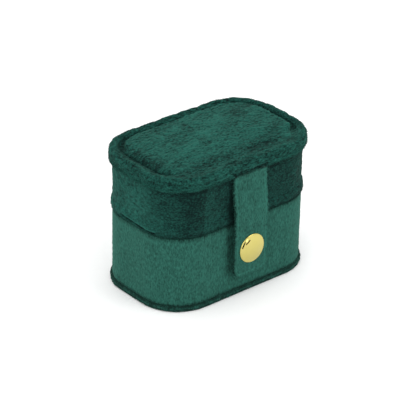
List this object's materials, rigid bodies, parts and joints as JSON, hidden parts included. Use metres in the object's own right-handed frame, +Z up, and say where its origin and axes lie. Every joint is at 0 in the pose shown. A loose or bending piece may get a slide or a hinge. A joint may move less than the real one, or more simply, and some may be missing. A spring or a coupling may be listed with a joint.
{
  "type": "travel jewelry case",
  "caption": "Small rounded velvet-covered case with a padded hinged lid, an inner mirror, ring rolls, an open well and a front strap with a press fastener.",
  "frame": {"origin": "centre of the flat underside that the case stands on, in the middle of the wall's outline", "axes": "+Z up, +X along the long side, -Y is the front with the strap, +Y the hinge side"},
  "size_m": [0.0788, 0.0542, 0.0584],
  "materials": {
    "body_velvet": "short upright pile, matt with a soft sheen",
    "lid_velvet": "brushed pile, darker, with a soft sheen",
    "lining_velvet": "short pile lining",
    "board": "grey bookbinding board",
    "foam": "open-cell foam",
    "strap_backing": "smooth microfibre",
    "stiffener": "flexible sheet",
    "brass": "polished, plated brass",
    "spring_steel": "spring wire",
    "mirror": "silvered glass"
  },
  "bodies": {
    "base": {"bottom_velvet": "body_velvet", "bottom_board": "board", "base_board": "board", "base_floor_board": "board", "base_velvet": "body_velvet", "base_lining": "lining_velvet", "floor_lining": "lining_velvet", "ring_roll_card": "board", "ring_roll_foam_1": "foam", "ring_roll_foam_2": "foam", "ring_roll_foam_3": "foam", "ring_roll_foam_4": "foam", "ring_roll_cover_1": "lining_velvet", "ring_roll_cover_2": "lining_velvet", "ring_roll_cover_3": "lining_velvet", "ring_roll_cover_4": "lining_velvet", "divider_board": "board", "divider_velvet": "lining_velvet", "hinge_strip_base": "body_velvet", "snap_stud": "brass", "snap_rivet": "brass"},
    "lid": {"lid_board": "board", "lid_velvet": "lid_velvet", "lid_lining": "lining_velvet", "lid_top_board": "board", "lid_rim_cord": "foam", "lid_top_foam": "foam", "lid_top_velvet": "lid_velvet", "mirror_backer": "board", "mirror_glass": "mirror", "mirror_frame": "lining_velvet", "hinge_strip_lid": "body_velvet", "strap_tab": "stiffener", "strap_root": "body_velvet"},
    "strap": {"strap_backing": "strap_backing", "strap_core": "stiffener", "strap_velvet": "body_velvet", "snap_cap": "brass", "snap_socket": "brass", "snap_spring": "spring_steel"}
  },
  "joints": [
    {"name": "lid_hinge", "type": "hinge", "parent": "base", "child": "lid", "pos_m": [0, 0.02455, 0.03235], "axis": [-1, 0, 0], "range_deg": [0, 110]},
    {"name": "strap_flex", "type": "hinge", "parent": "lid", "child": "strap", "pos_m": [0, -0.02535, 0.04825], "axis": [-1, 0, 0], "range_deg": [0, 135]}
  ]
}
